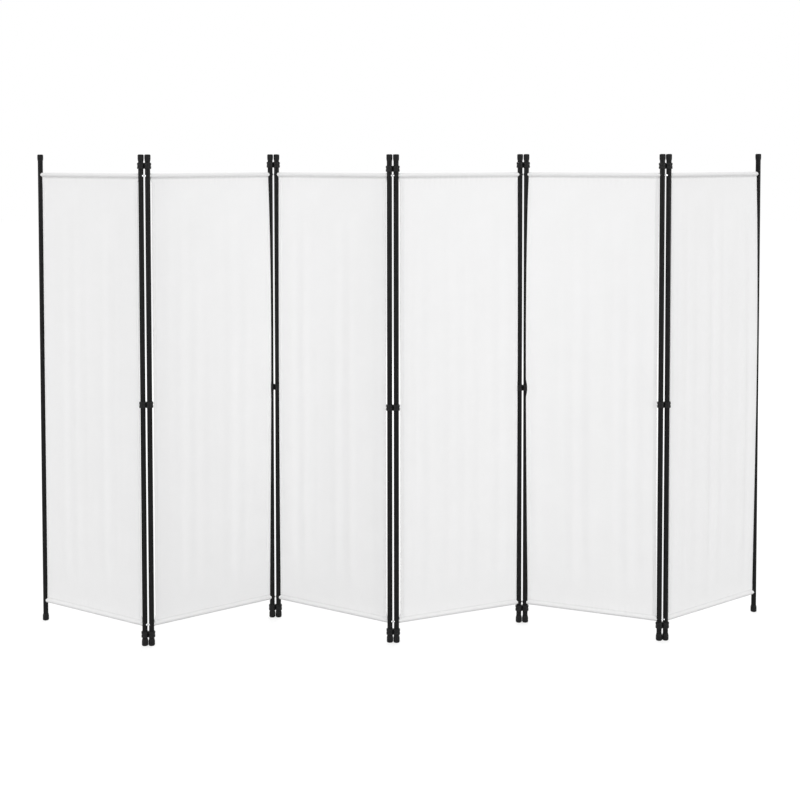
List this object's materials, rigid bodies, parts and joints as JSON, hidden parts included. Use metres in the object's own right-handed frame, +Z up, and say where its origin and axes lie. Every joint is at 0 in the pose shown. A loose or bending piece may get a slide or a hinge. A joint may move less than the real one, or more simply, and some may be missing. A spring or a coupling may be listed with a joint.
{
  "type": "accordion folding partition",
  "caption": "Free-standing zigzag room divider: fabric sheets stretched between slim round posts, with ring clips that let the posts fold against each other.",
  "frame": {"origin": "middle of the footprint, on the floor", "axes": "+X along the screen, from its left end to its right end as seen from the front; +Y away from the front; +Z up"},
  "size_m": [2.6316, 0.3724, 1.7],
  "materials": {
    "post": "satin black powder coat on steel tube",
    "crossbar": "white painted steel tube",
    "plug": "white moulded plastic",
    "screw": "bright zinc-plated steel",
    "fabric": "off-white woven polyester with stitched pockets and hems",
    "cup": "black moulded plastic",
    "clip": "black moulded plastic"
  },
  "bodies": {
    "panel_1": {"panel_1_lower_tubes": "post", "panel_1_upper_tubes": "post", "panel_1_lower_crossbar": "crossbar", "panel_1_upper_crossbar": "crossbar", "panel_1_bar_plugs": "plug", "panel_1_screws": "screw", "panel_1_fabric": "fabric", "panel_1_caps": "cup", "panel_1_feet": "cup"},
    "panel_2": {"panel_2_lower_tubes": "post", "panel_2_upper_tubes": "post", "panel_2_lower_crossbar": "crossbar", "panel_2_upper_crossbar": "crossbar", "panel_2_bar_plugs": "plug", "panel_2_screws": "screw", "panel_2_fabric": "fabric", "panel_2_caps": "cup", "panel_2_feet": "cup"},
    "panel_3": {"panel_3_lower_tubes": "post", "panel_3_upper_tubes": "post", "panel_3_lower_crossbar": "crossbar", "panel_3_upper_crossbar": "crossbar", "panel_3_bar_plugs": "plug", "panel_3_screws": "screw", "panel_3_fabric": "fabric", "panel_3_caps": "cup", "panel_3_feet": "cup"},
    "panel_4": {"panel_4_lower_tubes": "post", "panel_4_upper_tubes": "post", "panel_4_lower_crossbar": "crossbar", "panel_4_upper_crossbar": "crossbar", "panel_4_bar_plugs": "plug", "panel_4_screws": "screw", "panel_4_fabric": "fabric", "panel_4_caps": "cup", "panel_4_feet": "cup"},
    "panel_5": {"panel_5_lower_tubes": "post", "panel_5_upper_tubes": "post", "panel_5_lower_crossbar": "crossbar", "panel_5_upper_crossbar": "crossbar", "panel_5_bar_plugs": "plug", "panel_5_screws": "screw", "panel_5_fabric": "fabric", "panel_5_caps": "cup", "panel_5_feet": "cup"},
    "panel_6": {"panel_6_lower_tubes": "post", "panel_6_upper_tubes": "post", "panel_6_lower_crossbar": "crossbar", "panel_6_upper_crossbar": "crossbar", "panel_6_bar_plugs": "plug", "panel_6_screws": "screw", "panel_6_fabric": "fabric", "panel_6_caps": "cup", "panel_6_feet": "cup"},
    "clips_1": {"fold_1_clips": "clip"},
    "clips_2": {"fold_2_clips": "clip"},
    "clips_3": {"fold_3_clips": "clip"},
    "clips_4": {"fold_4_clips": "clip"},
    "clips_5": {"fold_5_clips": "clip"}
  },
  "joints": [
    {"name": "fold_1_right_rings", "type": "hinge", "parent": "panel_2", "child": "clips_1", "pos_m": [-0.87052, -0.17291, 0], "axis": [0, 0, -1], "range_deg": [-35, 54.75]},
    {"name": "fold_1_left_rings", "type": "hinge", "parent": "clips_1", "child": "panel_1", "pos_m": [-0.89351, -0.17371, 0], "axis": [0, 0, -1], "range_deg": [-35, 54.75]},
    {"name": "fold_2_right_rings", "type": "hinge", "parent": "panel_3", "child": "clips_2", "pos_m": [-0.45621, 0.12279, 0], "axis": [0, 0, 1], "range_deg": [-35, 54.75]},
    {"name": "fold_2_left_rings", "type": "hinge", "parent": "clips_2", "child": "panel_2", "pos_m": [-0.47919, 0.12198, 0], "axis": [0, 0, 1], "range_deg": [-35, 54.75]},
    {"name": "fold_3_left_rings", "type": "hinge", "parent": "panel_3", "child": "clips_3", "pos_m": [-0.04526, -0.14409, 0], "axis": [0, 0, 1], "range_deg": [-29, 60.75]},
    {"name": "fold_3_right_rings", "type": "hinge", "parent": "clips_3", "child": "panel_4", "pos_m": [-0.02231, -0.14569, 0], "axis": [0, 0, 1], "range_deg": [-29, 60.75]},
    {"name": "fold_4_left_rings", "type": "hinge", "parent": "panel_4", "child": "clips_4", "pos_m": [0.42178, 0.06139, 0], "axis": [0, 0, -1], "range_deg": [-24, 65.75]},
    {"name": "fold_4_right_rings", "type": "hinge", "parent": "clips_4", "child": "panel_5", "pos_m": [0.44477, 0.06179, 0], "axis": [0, 0, -1], "range_deg": [-24, 65.75]},
    {"name": "fold_5_left_rings", "type": "hinge", "parent": "panel_5", "child": "clips_5", "pos_m": [0.89582, -0.12967, 0], "axis": [0, 0, 1], "range_deg": [-30.5, 59.25]},
    {"name": "fold_5_right_rings", "type": "hinge", "parent": "clips_5", "child": "panel_6", "pos_m": [0.91862, -0.12666, 0], "axis": [0, 0, 1], "range_deg": [-30.5, 59.25]}
  ]
}
